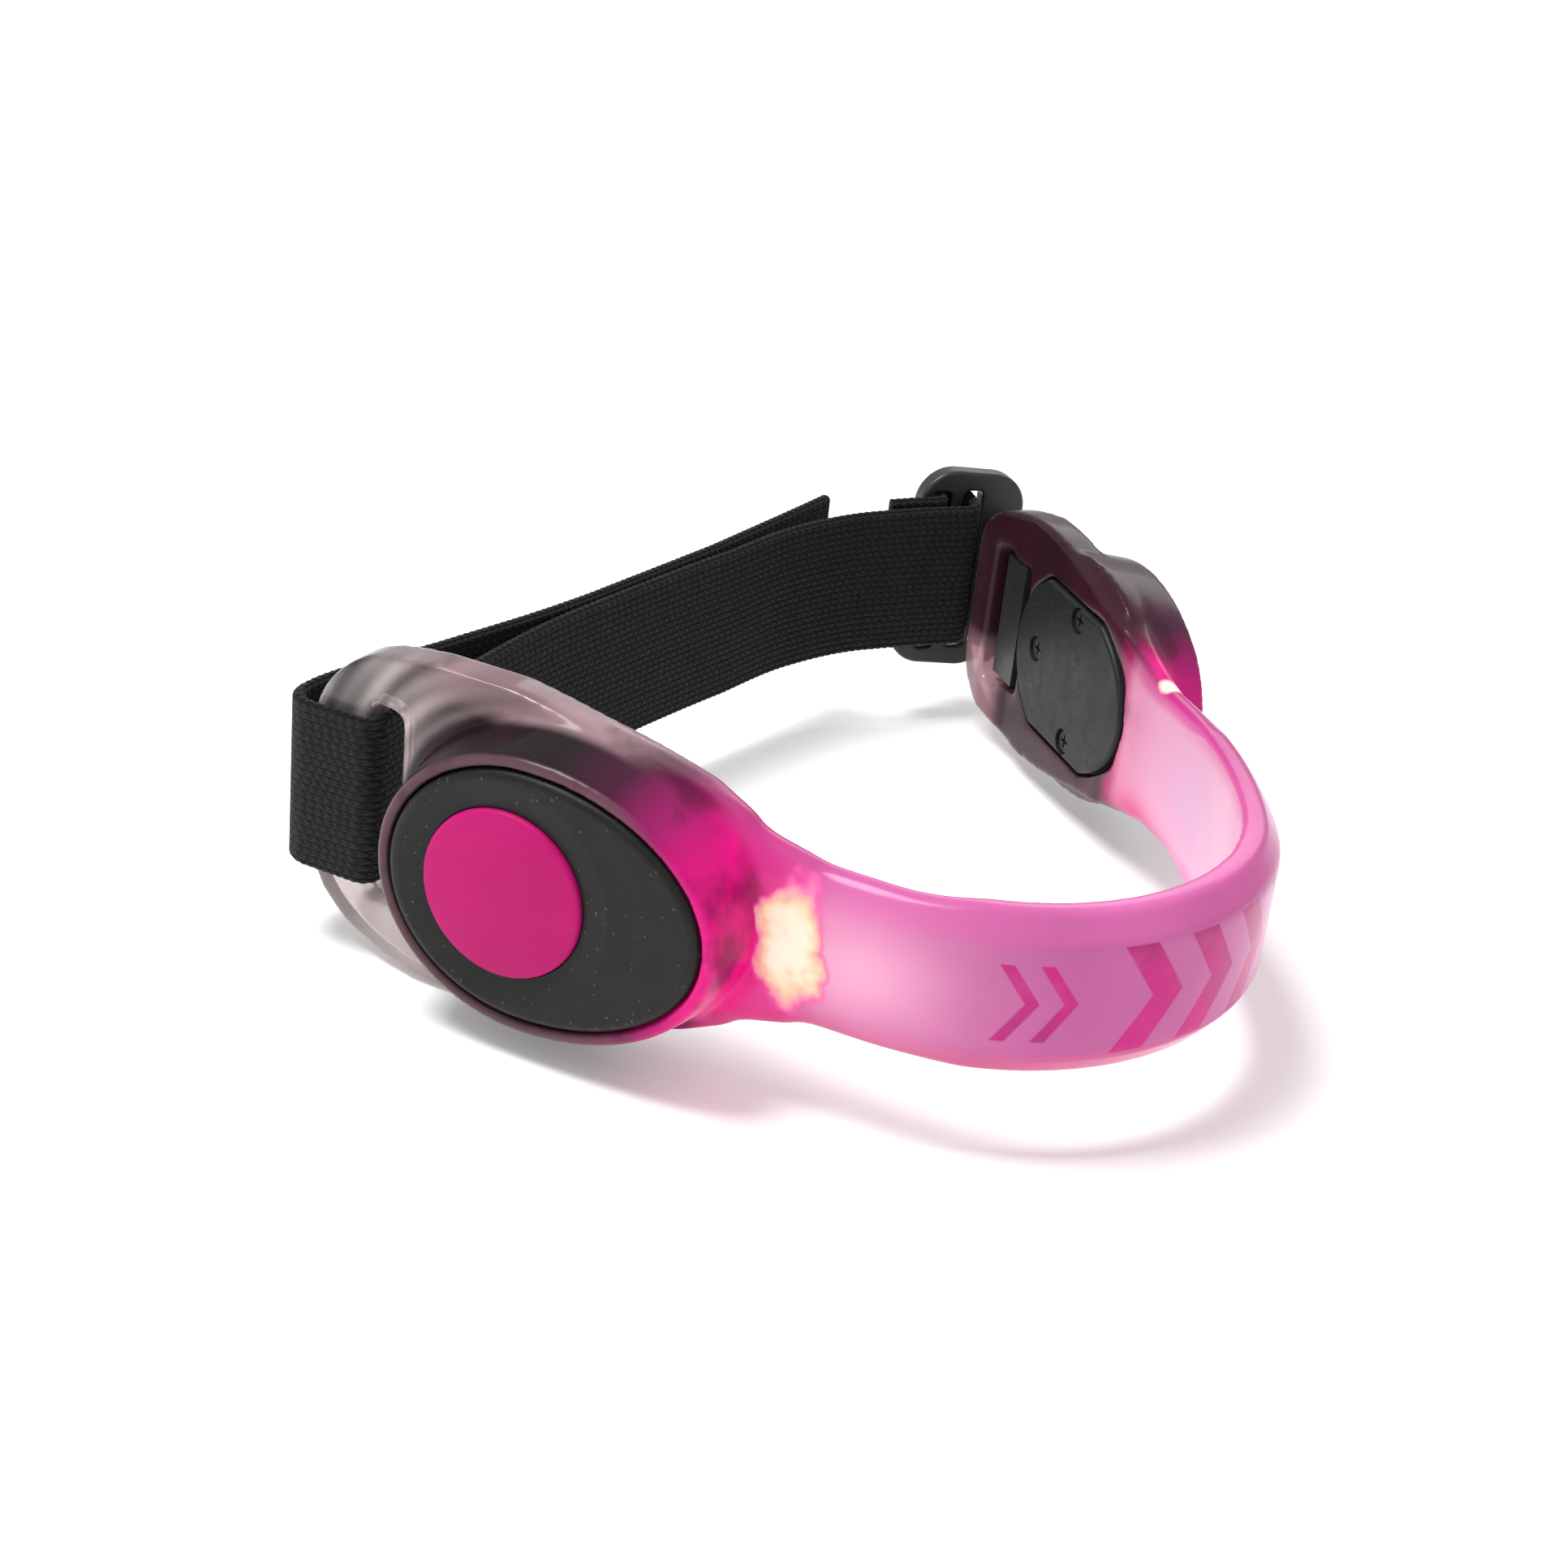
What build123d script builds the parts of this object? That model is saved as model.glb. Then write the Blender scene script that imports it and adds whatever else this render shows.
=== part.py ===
"""Runner's LED safety armband: a translucent light guide between two lit pods, closed by an elastic
strap and a hooked ladder buckle. Millimetres, +Z up, the ring lying with its axis along Z."""

import os
from math import cos, radians, sin

from build123d import *

# ---- driving dimensions -------------------------------------------------------------------------
POD_HALF_HEIGHT = 19.0          # half height of the sleeve round the large front pod
GUIDE_HALF_HEIGHT = 9.4         # half height of the light guide between the pods
BAND_T = 4.7                    # thickness of guide and sleeves
BEVEL_H, BEVEL_D = 3.0, 2.2     # bevels along the outer edges of the guide
STRAP_W, STRAP_T = 20.0, 1.4    # elastic webbing
GAP = 0.3                       # free room between soft and hard pieces
FIT = 0.1                       # free room between neighbouring hard pieces

# plan of the ring: centre of the front pod, two arcs of the guide, straight run to the rear pod
FRONT_X, FRONT_Y = -15.35, -46.833
ARC_1_R, ARC_1_TURN = 27.5, 113.9
ARC_2_R, ARC_2_TURN = 70.0, 22.1

# egg outline of the front pod face, about its widest section; the rear pod is the same shape, smaller
EGG_STRAP_SIDE, EGG_GUIDE_SIDE, EGG_HALF_HEIGHT = 16.4, 20.7, 14.2
SLEEVE_RUN, SLEEVE_END = 34.5, 28.0
COLLAR_FLARE, COLLAR_DROP = 1.7, 0.2
LIP_HALF_HEIGHT, LIP_T = 12.3, 0.8

# end bar and strap slot
BAR_LEFT, BAR_RIGHT, BAR_BEND = -33.4, -25.4, -17.5
BAR_LOW_Z, BAR_HIGH_Z = -1.4, 3.2
SLOT_RIGHT, SLOT_HALF_HEIGHT, SLOT_CORNER = -20.4, 11.7, 1.2

# levels above the inner side of the band, shared by both pods
COVER_PAD_Z, COVER_PLATE_Z, COVER_TOP_Z = -0.3, 0.9, 2.1
SHELL_FOOT_Z = 2.7
CHASSIS_Z = 2.2
CELL_Z = 2.5
CLIP_T, BOARD_T = 0.3, 0.8
SHELL_WALL, SHELL_TOP_WALL = 1.5, 1.6
DISH_R, DISH_DEPTH = 12.6, 0.45   # shallow hollow in the face round the button

# button, switch, light and screws
BUTTON_X, BUTTON_R = -2.3, 9.5
BUTTON_EDGE_RISE, BUTTON_CROWN = 0.2, 0.75
BUTTON_FLANGE, BUTTON_FLANGE_T = 1.2, 0.8
BUTTON_GAP, BUTTON_TRAVEL = 0.12, 0.5
SWITCH_SIDE, PLUNGER_R, PLUNGER_RISE = 6.0, 1.7, 0.5
LED_X, LED_L, LED_W, LED_T = 11.6, 2.4, 3.0, 1.6
PIPE_W, PIPE_T = 5.0, 2.2
CHIP_X, CHIP_Y, CHIP_SIDE, CHIP_T = 8.0, 4.5, 3.4, 0.8
SCREW_PLACES = ((-9.3, 0.0), (4.0, 9.8), (3.0, -10.0))
CELL_X = 1.0
SCREW_R, SCREW_HEAD_R, SCREW_HEAD_T, SCREW_RECESS_R = 0.8, 1.4, 0.8, 1.7

# ladder buckle beside the rear end bar: plate with two strap slots, and a hook round the bar.
# x and z are measured in the plane of the rear pod
PLATE_X, PLATE_LOW_Z, PLATE_HIGH_Z = -30.9, -10.2, 5.2
PLATE_HALF_HEIGHT, PLATE_T, PLATE_CORNER, PLATE_LEAN = 14.0, 2.6, 5.0, 6.0
FREE_SLOT_Z, HOOK_SLOT_Z = -6.1, -1.5
BUCKLE_SLOT_W, BUCKLE_SLOT_HALF_HEIGHT = 2.8, 11.3
HOOK_T, HOOK_HALF_HEIGHT, HOOK_BEND = 1.8, 8.4, 2.2
HOOK_OVER_Z, HOOK_LEG_X = 5.2, -18.9
TONGUE_Z, TONGUE_T, TONGUE_END = 0.1, 1.3, -14.1

# the strap sits a little high in its slots, and the buckle higher still
STRAP_RISE, BUCKLE_RISE = 1.2, 2.2
FOLD_R, LOOP_R, LOOP_CORNER_R = 2.0, 3.2, 1.6

# run of the strap's two layers, right of and behind the middle of the front pod
OUTER_LAYER = ((-15.2, 88.3), (-19.5, 65.3), (-22.2, 51.3), (-25.9, 33.3), (-30.0, 18.3))
INNER_LAYER = ((-23.2, 33.3), (-20.5, 48.8), (-17.0, 64.3), (-13.5, 76.8))

MID_Z = POD_HALF_HEIGHT
os.makedirs("parts", exist_ok=True)


def save(part, name):
    """Label one finished piece and write its STEP file."""
    part.label = name
    export_step(part, f"parts/{name}.step")


def polar(centre, radius, angle):
    """Plan point at a distance and an angle in degrees from a centre."""
    return Vector(centre.X + radius * cos(radians(angle)), centre.Y + radius * sin(radians(angle)))


# ---- plan of the guide and planes of the two pods: x towards the guide, z outwards ----------------
REAR_SCALE = 0.83
TURN = ARC_1_TURN + ARC_2_TURN
GUIDE_START = Vector(FRONT_X + SLEEVE_RUN, FRONT_Y)
ARC_1_C = GUIDE_START + Vector(0, ARC_1_R)
ARC_1_END = polar(ARC_1_C, ARC_1_R, ARC_1_TURN - 90)
ARC_2_C = polar(ARC_1_END, ARC_2_R, ARC_1_TURN + 90)
GUIDE_END = polar(ARC_2_C, ARC_2_R, TURN - 90)
REAR_CENTRE = polar(GUIDE_END, SLEEVE_RUN * REAR_SCALE, TURN)
TO_GUIDE = polar(Vector(0, 0), 1, TURN + 180)
OUTWARD = polar(Vector(0, 0), 1, TURN - 90)


class Pod:
    """Place, scale and heights of one pod."""

    def __init__(self, name, plane, scale, face_z, collar_wall, cell_d, cell_t, switch_t):
        self.name, self.plane, self.scale = name, plane, scale
        self.face_z, self.collar_wall = face_z, collar_wall
        self.axis = Axis(plane.origin, plane.z_dir)
        self.cell_d, self.cell_t, self.switch_t = cell_d, cell_t, switch_t
        self.clip_z = CELL_Z + cell_t + FIT / 2
        self.board_z = self.clip_z + CLIP_T + 1.5 * FIT
        self.board_top = self.board_z + BOARD_T
        self.switch_top = self.board_top + switch_t
        self.roof_z = face_z - SHELL_TOP_WALL
        self.flange_top = self.roof_z - FIT
        self.flange_z = self.flange_top - BUTTON_FLANGE_T

    def at(self, height):
        """Sketch plane at a height above the inner side of the band."""
        return self.plane.offset(height)

    def plan(self, along, out):
        """Plan point from distances along the pod and outwards."""
        spot = self.plane.origin + self.plane.x_dir * along + self.plane.z_dir * out
        return Vector(spot.X, spot.Y)


PODS = (
    Pod(
        "front",
        Plane((FRONT_X, FRONT_Y, MID_Z), (1, 0, 0), (0, -1, 0)),
        1.0, 12.5, 1.5, 16.0, 3.2, 1.8,
    ),
    Pod(
        "rear",
        Plane((REAR_CENTRE.X, REAR_CENTRE.Y, MID_Z), tuple(TO_GUIDE), tuple(OUTWARD)),
        REAR_SCALE, 10.4, 2.3, 12.5, 2.0, 1.2,
    ),
)
FRONT, REAR = PODS


def egg(pod, grow=0.0):
    """Egg-shaped face of a pod, grown or shrunk evenly, blunt towards the strap."""
    half_height = EGG_HALF_HEIGHT * pod.scale + grow
    strap_side = EGG_STRAP_SIDE * pod.scale + grow
    guide_side = EGG_GUIDE_SIDE * pod.scale + grow
    with BuildSketch(Plane.XY) as outline:
        with BuildLine():
            EllipticalCenterArc((0, 0), strap_side, half_height, 90, arc_size=180)
            EllipticalCenterArc((0, 0), guide_side, half_height, 270, arc_size=180)
        make_face()
    return outline.sketch


def lip_egg(pod, grow=0.0):
    """Egg outline cut off above and below, where the band's lips close over the cover."""
    with BuildSketch(Plane.XY) as outline:
        add(egg(pod, grow))
        Rectangle(60, 2 * (LIP_HALF_HEIGHT * pod.scale + grow), mode=Mode.INTERSECT)
    return outline.sketch


# ---- light band: sleeves with end bars, collars and pod pockets, joined by the guide --------------
def make_sleeve(pod):
    """Widened end of the band round one pod."""
    k = pod.scale
    across = Plane(origin=pod.plane.origin, x_dir=pod.plane.x_dir, z_dir=pod.plane.y_dir)
    sense = 1 if across.y_dir.dot(pod.plane.z_dir) > 0 else -1
    bar_left, bar_right, bend = BAR_LEFT * k, BAR_RIGHT * k, BAR_BEND * k
    end = SLEEVE_END * k
    low, high = sense * BAR_LOW_Z, sense * BAR_HIGH_Z
    top = sense * BAND_T
    bar_r = (BAR_HIGH_Z - BAR_LOW_Z) / 2
    with BuildPart() as sleeve:
        with BuildSketch(across):
            with BuildLine():
                Polyline((bar_left + bar_r, low), (bar_right, low), (bend, 0), (end, 0), (end, top),
                         (bend, top), (bar_right, high), (bar_left + bar_r, high))
                ThreePointArc((bar_left + bar_r, high), (bar_left, (low + high) / 2),
                              (bar_left + bar_r, low))
            make_face()
        extrude(amount=POD_HALF_HEIGHT, both=True)
        with BuildSketch(pod.at(-6)):
            with BuildLine():
                Spline(
                    (bar_left, 0),
                    (-32.3 * k, 10.0 * k),
                    (-28.0 * k, 15.6 * k),
                    (-20.0 * k, 18.5 * k),
                    (-12.0 * k, 19.3 * k),
                    (2.0 * k, 17.3 * k),
                    (12.0 * k, 15.2 * k),
                    (21.0 * k, max(12.0 * k, 11.2)),
                    (end, GUIDE_HALF_HEIGHT + 0.3),
                    tangents=((0, 1), (1, -0.2)),
                )
                Polyline((end, GUIDE_HALF_HEIGHT + 0.3), (end, 0), (bar_left, 0))
            make_face()
            mirror(about=Plane.XZ)
        extrude(amount=16, mode=Mode.INTERSECT)
        with BuildSketch(pod.at(1.5)):
            add(egg(pod, pod.collar_wall + COLLAR_FLARE))
        with BuildSketch(pod.at(pod.face_z - COLLAR_DROP)):
            add(egg(pod, pod.collar_wall))
        loft(ruled=True)
        with BuildSketch(pod.at(LIP_T)):
            add(egg(pod, FIT))
        extrude(amount=16, mode=Mode.SUBTRACT)
        with BuildSketch(pod.at(-6)):
            add(lip_egg(pod, FIT))
        extrude(amount=16, mode=Mode.SUBTRACT)
        with BuildSketch(pod.at(-6)):
            with Locations(((bar_right + SLOT_RIGHT * k) / 2, 0)):
                RectangleRounded((SLOT_RIGHT - BAR_RIGHT) * k, 2 * SLOT_HALF_HEIGHT * k, SLOT_CORNER)
        extrude(amount=16, mode=Mode.SUBTRACT)
    return sleeve.part


SLEEVES = [make_sleeve(pod) for pod in PODS]

with BuildPart() as light_band:
    with BuildLine(Plane.XY.offset(MID_Z)) as guide_path:
        Line(FRONT.plan(SLEEVE_END - 2, 0), GUIDE_START)
        CenterArc(ARC_1_C, ARC_1_R, -90, ARC_1_TURN)
        CenterArc(ARC_2_C, ARC_2_R, ARC_1_TURN - 90, ARC_2_TURN)
        Line(GUIDE_END, REAR.plan(SLEEVE_END * REAR_SCALE - 2, 0))
    guide_from = FRONT.plan(SLEEVE_END - 2, 0)
    with BuildSketch(Plane(guide_from + Vector(0, 0, MID_Z), x_dir=(0, -1, 0), z_dir=(1, 0, 0))):
        with BuildLine():
            Polyline((0, 0), (0, GUIDE_HALF_HEIGHT), (BAND_T - BEVEL_D, GUIDE_HALF_HEIGHT),
                     (BAND_T, GUIDE_HALF_HEIGHT - BEVEL_H), (BAND_T, 0), (0, 0))
        make_face()
        mirror(about=Plane.XZ)
    sweep(path=guide_path.wires()[0])
    add(SLEEVES)
    # recess where the buckle's tongue lies inside the rear sleeve
    with BuildSketch(REAR.at(-6)):
        with Locations(((SLOT_RIGHT * REAR.scale + TONGUE_END) / 2, 0)):
            Rectangle(TONGUE_END - SLOT_RIGHT * REAR.scale + 3, 2 * HOOK_HALF_HEIGHT + 2 * GAP)
    extrude(amount=6 + TONGUE_Z + TONGUE_T + GAP, mode=Mode.SUBTRACT)
save(light_band.part, "light_band")


# ---- the pieces of one pod, from the cover inside the ring to the button outside ------------------
def scaled(pod, places):
    """Places in the front pod's millimetres, brought to a pod's own scale."""
    return [(x * pod.scale, y * pod.scale) for x, y in places]


def make_back_cover(pod):
    with BuildPart() as cover:
        with BuildSketch(pod.at(COVER_PLATE_Z)):
            add(egg(pod))
        extrude(amount=COVER_TOP_Z - COVER_PLATE_Z)
        with BuildSketch(pod.at(COVER_PAD_Z)):
            add(lip_egg(pod, -FIT))
        extrude(amount=COVER_PLATE_Z - COVER_PAD_Z)
        fillet(cover.faces().sort_by(pod.axis)[0].edges(), 0.5)
        with Locations(pod.at(COVER_PAD_Z)):
            with Locations(*scaled(pod, SCREW_PLACES)):
                Cylinder(SCREW_R + FIT, 8, mode=Mode.SUBTRACT)
                Cylinder(SCREW_RECESS_R, 2 * (COVER_PLATE_Z - COVER_PAD_Z), mode=Mode.SUBTRACT)
    return cover.part


def make_cover_gasket(pod):
    with BuildPart() as gasket:
        with BuildSketch(pod.at(COVER_TOP_Z)):
            add(egg(pod, -0.2))
            add(egg(pod, -1.3), mode=Mode.SUBTRACT)
        extrude(amount=SHELL_FOOT_Z - COVER_TOP_Z)
    return gasket.part


def make_cover_screws(pod):
    with BuildPart() as screws:
        with BuildSketch(pod.at(COVER_PLATE_Z)):
            with Locations(*scaled(pod, SCREW_PLACES)):
                Circle(SCREW_HEAD_R)
        extrude(amount=-SCREW_HEAD_T)
        with BuildSketch(pod.at(COVER_PLATE_Z)):
            with Locations(*scaled(pod, SCREW_PLACES)):
                Circle(SCREW_R)
        extrude(amount=pod.clip_z - COVER_PLATE_Z - 0.4)
        with BuildSketch(pod.at(COVER_PLATE_Z - SCREW_HEAD_T)):
            with Locations(*scaled(pod, SCREW_PLACES)):
                Rectangle(1.8, 0.4)
                Rectangle(0.4, 1.8)
        extrude(amount=0.45, mode=Mode.SUBTRACT)
    return screws.part


def make_chassis(pod):
    with BuildPart() as chassis:
        with BuildSketch(pod.at(CHASSIS_Z)):
            add(egg(pod, -SHELL_WALL - FIT))
            with Locations((CELL_X * pod.scale, 0)):
                Circle(pod.cell_d / 2 + 2 * FIT, mode=Mode.SUBTRACT)
            with Locations(*scaled(pod, SCREW_PLACES)):
                Circle(SCREW_R + FIT / 4, mode=Mode.SUBTRACT)
        extrude(amount=CELL_Z + pod.cell_t - CHASSIS_Z)
    return chassis.part


def make_coin_cell(pod):
    with BuildPart() as cell:
        with BuildSketch(pod.at(CELL_Z)):
            with Locations((CELL_X * pod.scale, 0)):
                Circle(pod.cell_d / 2 - 1)
        extrude(amount=0.5)
        with BuildSketch(pod.at(CELL_Z + 0.5)):
            with Locations((CELL_X * pod.scale, 0)):
                Circle(pod.cell_d / 2)
        extrude(amount=pod.cell_t - 0.5)
    return cell.part


def make_cell_contact(pod):
    with BuildPart() as contact:
        with BuildSketch(pod.at(COVER_TOP_Z + FIT / 2)):
            with Locations((CELL_X * pod.scale, 0)):
                SlotOverall(pod.cell_d - 4, 3)
                Circle(2.4)
        extrude(amount=CLIP_T)
    return contact.part


def make_cell_clip(pod):
    with BuildPart() as clip:
        with BuildSketch(pod.at(pod.clip_z)):
            with Locations((CELL_X * pod.scale, 0)):
                Rectangle(4.0, pod.cell_d + 1)
        extrude(amount=CLIP_T)
        with BuildSketch(pod.at(pod.clip_z + CLIP_T)):
            with Locations((CELL_X * pod.scale, pod.cell_d / 2), (CELL_X * pod.scale, -pod.cell_d / 2)):
                Rectangle(4.0, 0.8)
        extrude(amount=1.5 * FIT)
    return clip.part


def make_circuit_board(pod):
    with BuildPart() as board:
        with BuildSketch(pod.at(pod.board_z)):
            add(egg(pod, -SHELL_WALL - 2 * FIT))
            with Locations((-13.0 * pod.scale, 0)):
                Circle(0.6, mode=Mode.SUBTRACT)
        extrude(amount=BOARD_T)
    return board.part


def make_driver_chip(pod):
    with BuildPart() as chip:
        with BuildSketch(pod.at(pod.board_top)):
            with Locations((CHIP_X * pod.scale, -CHIP_Y * pod.scale)):
                Rectangle(CHIP_SIDE, CHIP_SIDE)
        extrude(amount=CHIP_T)
        chamfer(chip.edges().filter_by(pod.axis), 0.3)
    return chip.part


def make_led(pod):
    with BuildPart() as led:
        with BuildSketch(pod.at(pod.board_top)):
            with Locations((LED_X * pod.scale, 0)):
                Rectangle(LED_L, LED_W)
        extrude(amount=LED_T)
        with BuildSketch(pod.at(pod.board_top + 0.3)):
            with Locations((LED_X * pod.scale + LED_L / 2 + 0.15, 0)):
                Rectangle(0.3, LED_W - 0.8)
        extrude(amount=LED_T - 0.6)
    return led.part


def pipe_sketch(pod, grow):
    """Section of the light pipe, seen from outside the pod."""
    start = LED_X * pod.scale + LED_L / 2 + 0.4 - grow
    end = EGG_GUIDE_SIDE * pod.scale + 1
    with BuildSketch(Plane.XY) as section:
        with Locations(((start + end) / 2, 0)):
            Rectangle(end - start, PIPE_W + 2 * grow)
    return section.sketch


def make_light_pipe(pod):
    with BuildPart() as pipe:
        with BuildSketch(pod.at(pod.board_top + FIT)):
            add(pipe_sketch(pod, 0))
            add(egg(pod), mode=Mode.INTERSECT)
        extrude(amount=PIPE_T)
    return pipe.part


def make_face_shell(pod):
    with BuildPart() as shell:
        with BuildSketch(pod.at(SHELL_FOOT_Z)):
            add(egg(pod))
        extrude(amount=pod.face_z - SHELL_FOOT_Z)
        fillet(shell.faces().sort_by(pod.axis)[-1].edges(), 1.1)
        with BuildSketch(pod.at(SHELL_FOOT_Z)):
            add(egg(pod, -SHELL_WALL))
        extrude(amount=pod.roof_z - SHELL_FOOT_Z, mode=Mode.SUBTRACT)
        with BuildSketch(pod.at(pod.roof_z - 1)):
            with Locations((BUTTON_X * pod.scale, 0)):
                Circle(BUTTON_R * pod.scale + BUTTON_GAP)
        extrude(amount=SHELL_TOP_WALL + 2, mode=Mode.SUBTRACT)
        with BuildSketch(pod.at(pod.face_z - DISH_DEPTH)):
            with Locations((BUTTON_X * pod.scale, 0)):
                Circle(BUTTON_R * pod.scale)
        with BuildSketch(pod.at(pod.face_z)):
            with Locations((BUTTON_X * pod.scale, 0)):
                Circle(DISH_R * pod.scale)
        loft(ruled=True, mode=Mode.SUBTRACT)
        with BuildSketch(pod.at(pod.board_top)):
            add(pipe_sketch(pod, FIT))
        extrude(amount=PIPE_T + 2 * FIT, mode=Mode.SUBTRACT)
    return shell.part


def make_button(pod):
    axis_plane = Plane(
        origin=pod.plan(BUTTON_X * pod.scale, 0) + Vector(0, 0, MID_Z),
        x_dir=pod.plane.x_dir,
        z_dir=-pod.plane.y_dir,
    )
    radius = BUTTON_R * pod.scale
    stem_z = pod.switch_top + PLUNGER_RISE
    edge_z = pod.face_z + BUTTON_EDGE_RISE
    with BuildPart() as button:
        with BuildSketch(axis_plane):
            with BuildLine():
                Polyline((0, stem_z), (PLUNGER_R, stem_z), (PLUNGER_R, pod.flange_z),
                         (radius + BUTTON_FLANGE, pod.flange_z),
                         (radius + BUTTON_FLANGE, pod.flange_top), (radius, pod.flange_top),
                         (radius, edge_z))
                crown = TangentArc((0, edge_z + BUTTON_CROWN), (radius, edge_z), tangent=(1, 0))
                Line(crown @ 0, (0, stem_z))
            make_face()
        revolve(axis=Axis(axis_plane.origin, pod.plane.z_dir))
    return button.part


def make_switch_body(pod):
    with BuildPart() as switch:
        with BuildSketch(pod.at(pod.board_top)):
            with Locations((BUTTON_X * pod.scale, 0)):
                RectangleRounded(SWITCH_SIDE, SWITCH_SIDE, 0.5)
        extrude(amount=pod.switch_t)
        with BuildSketch(pod.at(pod.switch_top)):
            with Locations((BUTTON_X * pod.scale, 0)):
                Circle(PLUNGER_R + FIT)
        extrude(amount=-BUTTON_TRAVEL - 3 * FIT, mode=Mode.SUBTRACT)
    return switch.part


def make_switch_plunger(pod):
    with BuildPart() as plunger:
        with BuildSketch(pod.at(pod.switch_top - FIT)):
            with Locations((BUTTON_X * pod.scale, 0)):
                Circle(PLUNGER_R)
        extrude(amount=PLUNGER_RISE + FIT)
    return plunger.part


PIECES = {
    "back_cover": make_back_cover,
    "cover_gasket": make_cover_gasket,
    "cover_screws": make_cover_screws,
    "chassis": make_chassis,
    "coin_cell": make_coin_cell,
    "cell_contact": make_cell_contact,
    "cell_clip": make_cell_clip,
    "circuit_board": make_circuit_board,
    "driver_chip": make_driver_chip,
    "led": make_led,
    "light_pipe": make_light_pipe,
    "face_shell": make_face_shell,
    "button": make_button,
    "switch_body": make_switch_body,
    "switch_plunger": make_switch_plunger,
}
for pod in PODS:
    for piece, make in PIECES.items():
        save(make(pod), f"{pod.name}_{piece}")

# ---- buckle: plate beside the rear end bar, hook over the bar and in through the rear slot --------
buckle_z = MID_Z + BUCKLE_RISE
plate_mid_z = (PLATE_LOW_Z + PLATE_HIGH_Z) / 2
plate_plane = Plane(
    REAR.plan(PLATE_X, plate_mid_z) + Vector(0, 0, buckle_z),
    x_dir=tuple(OUTWARD), z_dir=tuple(-TO_GUIDE),
)
hook_plane = Plane(REAR.plane.origin, x_dir=REAR.plane.x_dir, z_dir=-REAR.plane.y_dir)
with BuildPart() as buckle:
    with BuildSketch(plate_plane):
        RectangleRounded(PLATE_HIGH_Z - PLATE_LOW_Z, 2 * PLATE_HALF_HEIGHT, PLATE_CORNER,
                         rotation=PLATE_LEAN)
        with Locations((FREE_SLOT_Z - plate_mid_z, 0), (HOOK_SLOT_Z - plate_mid_z, 0)):
            RectangleRounded(BUCKLE_SLOT_W, 2 * BUCKLE_SLOT_HALF_HEIGHT, 0.8, mode=Mode.SUBTRACT)
    extrude(amount=PLATE_T / 2, both=True)
    fillet(buckle.faces().filter_by(Axis(plate_plane.origin, plate_plane.z_dir)).edges(), 0.45)
    with BuildSketch(hook_plane):
        with BuildLine():
            FilletPolyline(
                (PLATE_X, PLATE_HIGH_Z - 3),
                (PLATE_X, HOOK_OVER_Z),
                (HOOK_LEG_X, HOOK_OVER_Z),
                (HOOK_LEG_X, TONGUE_Z + TONGUE_T / 2),
                radius=HOOK_BEND,
            )
        trace(line_width=HOOK_T)
        with Locations(((HOOK_LEG_X - HOOK_T / 2 + TONGUE_END) / 2, TONGUE_Z + TONGUE_T / 2)):
            Rectangle(TONGUE_END - HOOK_LEG_X + HOOK_T / 2, TONGUE_T)
    extrude(amount=HOOK_HALF_HEIGHT, both=True)
save(buckle.part, "buckle")

# ---- strap: outer layer, loop round the front end bar, inner layer, folds through the buckle -------
LEG_OFF = GAP + STRAP_T / 2
left_x = BAR_LEFT - LEG_OFF - 0.9
slot_x = BAR_RIGHT + LEG_OFF + 0.3
over_z = BAR_HIGH_Z + LEG_OFF
tail_x = PLATE_X + PLATE_T / 2 + LEG_OFF
main_x = tail_x + STRAP_T + GAP
back_x = PLATE_X - PLATE_T / 2
with BuildPart() as strap:
    with BuildSketch(Plane.XY.offset(MID_Z + STRAP_RISE - STRAP_W / 2)):
        with BuildLine():
            left_foot, left_top = FRONT.plan(left_x, over_z - LOOP_R), FRONT.plan(left_x + LOOP_R, over_z)
            slot_over = FRONT.plan(slot_x - LOOP_CORNER_R, over_z)
            slot_top = FRONT.plan(slot_x, over_z - LOOP_CORNER_R)
            slot_foot = FRONT.plan(slot_x, -3.0)
            Spline(*[FRONT.plan(right, -behind) for right, behind in OUTER_LAYER], left_foot,
                   tangents=((-0.17, -0.98), (0, -1)))
            TangentArc(left_foot, left_top, tangent=(0, -1))
            Line(left_top, slot_over)
            TangentArc(slot_over, slot_top, tangent=(1, 0))
            Line(slot_top, slot_foot)
            main_start = REAR.plan(main_x, PLATE_LOW_Z - 6)
            main_end = REAR.plan(main_x, HOOK_SLOT_Z - FOLD_R)
            fold_in = REAR.plan(main_x - FOLD_R, HOOK_SLOT_Z)
            Spline(slot_foot, *[FRONT.plan(right, -behind) for right, behind in INNER_LAYER], main_start,
                   tangents=((0, 1), tuple(OUTWARD)))
            Line(main_start, main_end)
            TangentArc(main_end, fold_in, tangent=tuple(OUTWARD))
            round_in, round_out = REAR.plan(back_x, HOOK_SLOT_Z), REAR.plan(back_x, FREE_SLOT_Z)
            Line(fold_in, round_in)
            TangentArc(round_in, round_out, tangent=tuple(-TO_GUIDE))
            fold_out, tail_start = REAR.plan(tail_x - 1.2, FREE_SLOT_Z), REAR.plan(tail_x, FREE_SLOT_Z - 1.2)
            Line(round_out, fold_out)
            TangentArc(fold_out, tail_start, tangent=tuple(TO_GUIDE))
            Line(tail_start, REAR.plan(tail_x, PLATE_LOW_Z - 4.3))
        trace(line_width=STRAP_T)
    extrude(amount=STRAP_W)
save(strap.part, "strap")
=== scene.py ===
"""Looks for the LED running armband: a translucent light guide, speckled pods, knitted strap."""

from math import cos, pi, radians, sin

import bpy
import numpy as np
from mathutils import Matrix, Vector


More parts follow.
